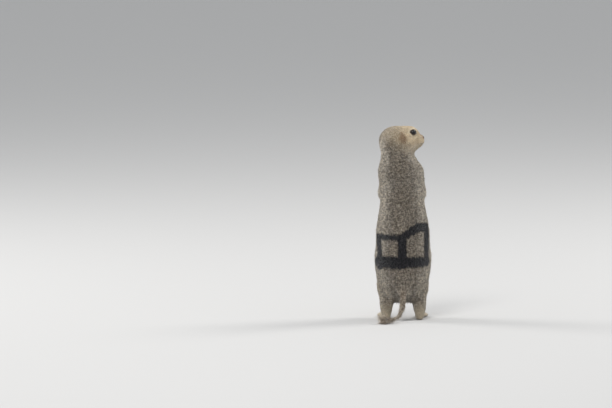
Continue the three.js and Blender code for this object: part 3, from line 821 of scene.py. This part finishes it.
# Eyes and lids: the colours of a ball from its middle outwards, and of a lid from its edge outwards
IRIS = (
    (0.0, (0.002, 0.002, 0.002)),
    (0.44, (0.003, 0.002, 0.002)),
    (0.5, (0.03, 0.014, 0.007)),
    (0.85, (0.016, 0.008, 0.005)),
    (1.0, (0.006, 0.004, 0.003)),
)
LID = (
    (0.0, (0.02, 0.014, 0.012)),
    (0.5, (0.04, 0.027, 0.02)),
    (0.75, (0.3, 0.22, 0.13)),
    (1.0, (0.6, 0.5, 0.35)),
)
eye_material, tree, bsdf = shader("eye", 0.06, Specular_IOR_Level=0.4)
tree.links.new(ramp(tree, attribute(tree, "off_axis"), *IRIS), bsdf.inputs["Base Color"])

lid_material, tree, bsdf = shader("lid", 0.5, Specular_IOR_Level=0.35)
tree.links.new(ramp(tree, attribute(tree, "off_edge"), *LID), bsdf.inputs["Base Color"])
add_bump(tree, bsdf, noise(tree, 2500, 2), 0.4, 0.15 * MM)

LID_RINGS = ((-3, 4.5), (-1.5, 4.82), (1, 5.05), (4, 5.15), (7, 5.15), (11, 5.0), (17, 4.6))  # degrees and mm
LID_AROUND = 56
LID_THICKNESS = 0.25 * MM
EYE_SWELL = 0.3 * MM  # how far the middle of the ball stands out


def make_eye(name, side):
    out, forward, over = eye_axes(side)
    bm = bmesh.new()
    bmesh.ops.create_uvsphere(bm, u_segments=40, v_segments=28, radius=EYE_R * MM)
    turn = Matrix((forward, over, out)).transposed()
    if turn.determinant() < 0:
        turn = Matrix((-forward, over, out)).transposed()
    off_axis = []
    for vert in bm.verts:
        angle = math.acos(max(-1, min(1, vert.co.z / (EYE_R * MM))))
        off_axis.append(angle / (math.pi / 2))
        swell = EYE_SWELL * math.exp(-((angle / 0.55) ** 4))
        vert.co = turn @ (vert.co + vert.co.normalized() * swell) + centre(f"eye_{name}")
    mesh = mesh_from(bm, f"eyeball_{name}")
    set_attributes(mesh, {"off_axis": off_axis})
    mesh.materials.append(eye_material)
    made = new_object(f"eyeball_{name}", smooth_shaded(mesh))
    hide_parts(f"eye_{name}")
    return made


def make_lid(name, side):
    out, forward, over = eye_axes(side)
    middle = centre(f"eye_{name}")
    bm = bmesh.new()
    rings, off_edge = [], []
    for n, (degrees, radius) in enumerate(LID_RINGS):
        ring = []
        for i in range(LID_AROUND):
            a = 2 * math.pi * i / LID_AROUND
            theta = float(opening_at(a)) + math.radians(degrees)
            way = out * math.cos(theta) + (forward * math.cos(a) + over * math.sin(a)) * math.sin(theta)
            ring.append(bm.verts.new(middle + way * radius * MM))
            off_edge.append(n / (len(LID_RINGS) - 1))
        rings.append(ring)
    for low, high in zip(rings, rings[1:]):
        for i in range(LID_AROUND):
            j = (i + 1) % LID_AROUND
            bm.faces.new((low[i], low[j], high[j], high[i]))
    bmesh.ops.recalc_face_normals(bm, faces=bm.faces)
    mesh = mesh_from(bm, f"lid_{name}")
    set_attributes(mesh, {"off_edge": off_edge})
    mesh.materials.append(lid_material)
    made = new_object(f"lid_{name}", smooth_shaded(mesh))
    thick = made.modifiers.new("thickness", "SOLIDIFY")
    thick.thickness = LID_THICKNESS
    thick.offset = -1
    return made


features = []
for name, side in SIDES.items():
    features += [make_eye(name, side), make_lid(name, side)]


# Nose
nose_material, tree, bsdf = shader("nose", 0.5, Specular_IOR_Level=0.4)
add_mottle(tree, bsdf, 900, 3, (0.3, (0.04, 0.024, 0.02)), (0.75, (0.13, 0.075, 0.06)))
add_bump(tree, bsdf, noise(tree, 4500, 2), 0.8, 0.15 * MM)
NOSE_RADII = (2.3, 3.1, 2.3)  # forward, across and up, in millimetres
NOSTRIL_OUT = 1.35  # from the middle of the nose
NOSTRIL_UP = 0.1


def shape_nose(mesh):
    """Flattens the pad towards the muzzle and presses in two curved nostrils and the groove between them."""
    co = coordinates(mesh)
    axes = np.array([head_u, head_v, head_w])
    middle = np.array(centre("nose"))
    u, v, w = ((co - middle) @ axes.T / MM).T
    u = u * 0.72 - 0.35
    v = v * (0.98 - 0.13 * smooth_step(-w, 0, 2))
    curl = w - NOSTRIL_UP - 0.5 * (np.abs(v) - NOSTRIL_OUT) ** 2
    dent = np.exp(-(((np.abs(v) - NOSTRIL_OUT) / 0.75) ** 2) - (curl / 0.42) ** 2)
    groove = np.exp(-((v / 0.28) ** 2)) * smooth_step(0.4 - w, 0, 1)
    u -= (1.1 * dent + 0.45 * groove) * smooth_step(u, -0.5, 0.3)
    set_coordinates(mesh, middle + np.column_stack([u, v, w]) @ axes * MM)


def make_nose():
    bm = bmesh.new()
    bmesh.ops.create_icosphere(bm, subdivisions=5, radius=1)
    forward, across, up = NOSE_RADII
    for vert in bm.verts:
        x, y, z = vert.co
        vert.co = centre("nose") + (head_u * x * forward + head_v * y * across + head_w * z * up) * MM
    mesh = mesh_from(bm, "nose_pad")
    shape_nose(mesh)
    mesh.materials.append(nose_material)
    made = new_object("nose_pad", smooth_shaded(mesh))
    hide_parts("nose")
    return made


features.append(make_nose())

ear_material, tree, bsdf = shader(
    "ear",
    0.7,
    Specular_IOR_Level=0.25,
    Subsurface_Weight=0.1,
    Subsurface_Scale=0.001,
)
add_mottle(tree, bsdf, 1400, 3, (0.3, (0.26, 0.17, 0.1)), (0.75, (0.5, 0.37, 0.24)))
add_bump(tree, bsdf, noise(tree, 2600, 2), 0.5, 0.2 * MM)
for ear in ears.values():
    ear.data.materials.append(ear_material)
    features.append(ear)


# Lips: a thin dark line where the two lips meet, set on the skin
skin_tree = BVHTree.FromObject(skin, bpy.context.evaluated_depsgraph_get())
LIP_AXIS = (24, 0, -6.6)  # where the rays to the line of the lips start, in the head's frame
LIP_SWEEP = 84  # degrees to each side of straight ahead
LIP_FALL = 0.12  # how steeply the line falls towards the corners of the mouth
LIP_HALF = 20  # steps to each side

lip_material, tree, bsdf = shader("lip", 0.5, Specular_IOR_Level=0.3)
add_mottle(tree, bsdf, 1800, 2, (0.3, (0.035, 0.02, 0.015)), (0.8, (0.1, 0.06, 0.045)))


def make_lips():
    start = on_head(*LIP_AXIS)
    points = []
    steps = 2 * LIP_HALF
    for step in range(steps + 1):
        a = math.radians(LIP_SWEEP * (step / LIP_HALF - 1))
        way = head_u * math.cos(a) + head_v * math.sin(a) + head_w * LIP_FALL * (math.cos(a) - 1)
        hit, _, _, _ = skin_tree.ray_cast(start, way.normalized())
        points.append(hit)
    radii = [(0.1 + 0.14 * math.sin(math.pi * i / steps)) * MM for i in range(steps + 1)]
    bm = bmesh.new()
    add_tube(bm, points, radii, 6)
    mesh = mesh_from(bm, "lips")
    mesh.materials.append(lip_material)
    made = new_object("lips", smooth_shaded(mesh))
    return made


features.append(make_lips())

# Whiskers: in rows down the muzzle, longer towards the cheek
WHISKERS = 11  # to each side
WHISKER_ROWS = 3
WHISKER_STEPS = 8
WHISKER_RADIUS = 0.085  # at the root, in millimetres
WHISKER_TAPER = 0.062
whisker_material, tree, bsdf = shader("whisker", 0.35, (0.5, 0.44, 0.36), Specular_IOR_Level=0.5)


def make_whiskers():
    bm = bmesh.new()
    bend = -head_u * 0.22 - head_w * 0.16
    steps = [i / WHISKER_STEPS for i in range(WHISKER_STEPS + 1)]
    radii = [(WHISKER_RADIUS - WHISKER_TAPER * t) * MM for t in steps]
    for side in SIDES.values():
        for n in range(WHISKERS):
            place, row = divmod(n, WHISKER_ROWS)
            near = on_head(30.5 - 1.7 * place - 0.5 * row, side * 3, -1.2 - 1.6 * row)
            way = head_u * (0.75 - 0.28 * place) + head_v * side + head_w * (0.16 - 0.22 * row)
            way.normalize()
            hit, normal, _, _ = skin_tree.find_nearest(near + head_v * side * 4 * MM)
            long = (13 + 2.6 * place + 2 * rng.random()) * MM
            root = hit - normal * 0.4 * MM
            points = [root + way * long * t + bend * long * t * t for t in steps]
            add_tube(bm, points, radii, 5)
    mesh = mesh_from(bm, "whiskers")
    mesh.materials.append(whisker_material)
    made = new_object("whiskers", smooth_shaded(mesh))
    return made


features.append(make_whiskers())

# Claws: each is a smooth horn through the solid claw's own root, middle and tip
claw_material, tree, bsdf = shader("claw", 0.35, Coat_Weight=0.15, Coat_Roughness=0.25)
add_mottle(tree, bsdf, 700, 2, (0.3, (0.028, 0.02, 0.016)), (0.75, (0.1, 0.075, 0.055)))
CLAW_STEPS = 7
CLAW_RADIUS = 0.85 * MM  # at the root
CLAW_ROOT = 0.3  # the shares of the solid claw's length that its root and its middle are read from
CLAW_MIDDLE = 0.8


def make_claw(node, limb):
    co = coordinates(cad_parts[node].data)
    away = np.linalg.norm(co - np.array(centre(limb)), axis=1)
    tip = Vector(co[away.argmax()])
    share = (away - away.min()) / (away.max() - away.min())
    root = Vector(co[share < CLAW_ROOT].mean(0))
    within = (share > CLAW_ROOT) & (share < CLAW_MIDDLE)
    middle = Vector(co[within].mean(0)) if within.any() else (root + tip) / 2
    bend = middle * 2 - (root + tip) / 2
    steps = [i / CLAW_STEPS for i in range(CLAW_STEPS + 1)]
    points = [root * (1 - t) ** 2 + bend * 2 * t * (1 - t) + tip * t * t for t in steps]
    radii = [CLAW_RADIUS * (1 - 0.93 * t**1.4) for t in steps]
    bm = bmesh.new()
    add_tube(bm, points, radii)
    mesh = mesh_from(bm, f"horn_{node}")
    mesh.materials.append(claw_material)
    made = new_object(f"horn_{node}", smooth_shaded(mesh))
    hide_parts(node)
    return made


for name in SIDES:
    features += [make_claw(claw, f"hand_{name}") for claw in claws_of("fore", name)]
    features += [make_claw(claw, f"foot_{name}") for claw in claws_of("hind", name)]

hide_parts(*FLESH, "tail_stem", "tail_brush")
for piece in [skin, *coat, *features]:
    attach(piece, "root")


# Floor, light and camera
FLOOR_RADIUS = 24
SKY_COLOR = (0.93, 0.96, 1, 1)
SKY_STRENGTH = 0.75
LAMP_SIZE = 0.9


def make_floor():
    bm = bmesh.new()
    bmesh.ops.create_circle(bm, cap_ends=True, segments=96, radius=FLOOR_RADIUS)
    mesh = mesh_from(bm, "floor")
    material, _, _ = shader("floor", 0.9, (0.52, 0.51, 0.495), Specular_IOR_Level=0.2)
    mesh.materials.append(material)
    floor = new_object("floor", mesh)


def add_lamp(name, energy, place, target):
    lamp = bpy.data.lights.new(name, "AREA")
    lamp.energy = energy
    lamp.shape = "DISK"
    lamp.size = LAMP_SIZE
    holder = new_object(name, lamp)
    holder.location = place
    holder.rotation_euler = (target - Vector(place)).to_track_quat("-Z", "Y").to_euler()


make_floor()
world = bpy.data.worlds.new("studio")
world.use_nodes = True
sky = world.node_tree.nodes["Background"]
sky.inputs["Color"].default_value = SKY_COLOR
sky.inputs["Strength"].default_value = SKY_STRENGTH
bpy.context.scene.world = world
bpy.context.scene.view_settings.view_transform = "Standard"
chest_height = Vector((0, 0, 0.15))
add_lamp("key", 24, (0.6, 1.5, 1.9), chest_height)
add_lamp("rim_right", 27, (-1.6, -0.9, 1.6), chest_height)
add_lamp("rim_left", 22, (1.7, -0.7, 1.3), chest_height)

camera_data = bpy.data.cameras.new("camera")
camera_data.lens = CAMERA_LENS
camera_data.sensor_width = CAMERA_SENSOR
camera_data.clip_end = 60
camera = new_object("camera", camera_data)
lift = math.radians(CAMERA_ELEVATION)
picture_width = FRAME_WIDTH * MM_PER_PIXEL * MM
distance = picture_width * CAMERA_LENS / CAMERA_SENSOR
crown_above_middle = (FRAME_HEIGHT / 2 - CROWN_PX) * MM_PER_PIXEL * MM
target = Vector(
    (
        (ANIMAL_PX - FRAME_WIDTH / 2) * MM_PER_PIXEL * MM,
        SHIFT_Y * MM,
        cad_high.z - crown_above_middle / math.cos(lift),
    )
)
back = Vector((0, math.cos(lift), math.sin(lift)))
camera.location = target + back * distance
camera.rotation_euler = (-back).to_track_quat("-Z", "Y").to_euler()
bpy.context.scene.camera = camera
